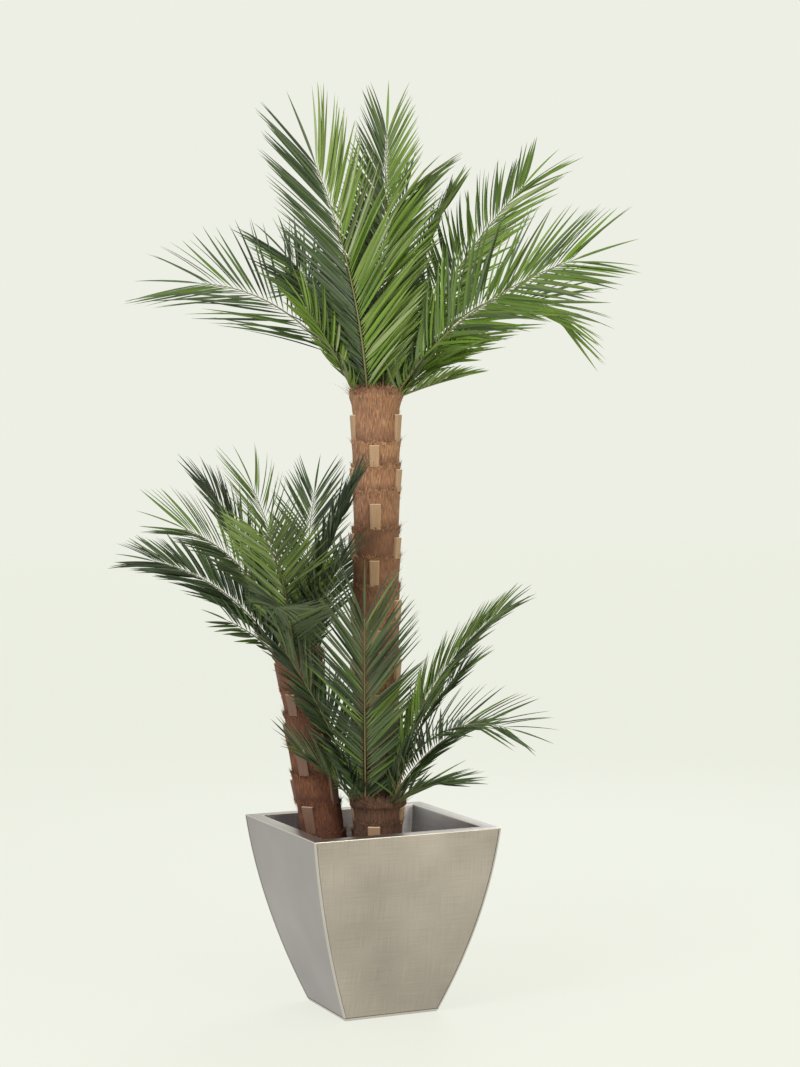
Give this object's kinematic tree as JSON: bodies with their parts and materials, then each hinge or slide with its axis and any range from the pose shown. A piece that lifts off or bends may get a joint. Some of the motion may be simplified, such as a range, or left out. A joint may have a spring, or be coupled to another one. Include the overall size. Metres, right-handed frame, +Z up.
{
  "type": "artificial pygmy date palm in planter",
  "caption": "Artificial pygmy date palm: a clump of fibre-wrapped stems of stepped height, crowned with feather fronds, in a tapered square steel planter.",
  "frame": {"origin": "centre of the planter's flat underside", "axes": "+Z up, X and Y along the planter's sides, -Y the planter's front face"},
  "size_m": [1.3542, 1.2798, 2.3732],
  "materials": {
    "planter": "cross-brushed stainless steel, warm grey",
    "fill": "dark bark mulch over soil",
    "bark_tall": "coarse light brown palm fibre with cut frond stubs",
    "bark_medium": "coarse dark brown palm fibre with cut frond stubs",
    "bark_short": "coarse brown palm fibre with cut frond stubs",
    "foliage_tall": "satin bright to mid green leaf",
    "foliage_medium": "satin mid to dark green leaf",
    "foliage_short": "satin mid to dark green leaf"
  },
  "bodies": {
    "root": {"planter": "planter", "fill": "fill", "stem_tall": "bark_tall", "stem_medium": "bark_medium", "stem_short": "bark_short", "frond_tall_01": "foliage_tall", "frond_tall_02": "foliage_tall", "frond_tall_03": "foliage_tall", "frond_tall_04": "foliage_tall", "frond_tall_05": "foliage_tall", "frond_tall_06": "foliage_tall", "frond_tall_07": "foliage_tall", "frond_tall_08": "foliage_tall", "frond_tall_09": "foliage_tall", "frond_tall_10": "foliage_tall", "frond_tall_11": "foliage_tall", "frond_tall_12": "foliage_tall", "frond_tall_13": "foliage_tall", "frond_tall_14": "foliage_tall", "frond_medium_01": "foliage_medium", "frond_medium_02": "foliage_medium", "frond_medium_03": "foliage_medium", "frond_medium_04": "foliage_medium", "frond_medium_05": "foliage_medium", "frond_medium_06": "foliage_medium", "frond_medium_07": "foliage_medium", "frond_medium_08": "foliage_medium", "frond_medium_09": "foliage_medium", "frond_medium_10": "foliage_medium", "frond_medium_11": "foliage_medium", "frond_medium_12": "foliage_medium", "frond_short_01": "foliage_short", "frond_short_02": "foliage_short", "frond_short_03": "foliage_short", "frond_short_04": "foliage_short", "frond_short_05": "foliage_short", "frond_short_06": "foliage_short", "frond_short_07": "foliage_short", "frond_short_08": "foliage_short"}
  },
  "joints": []
}
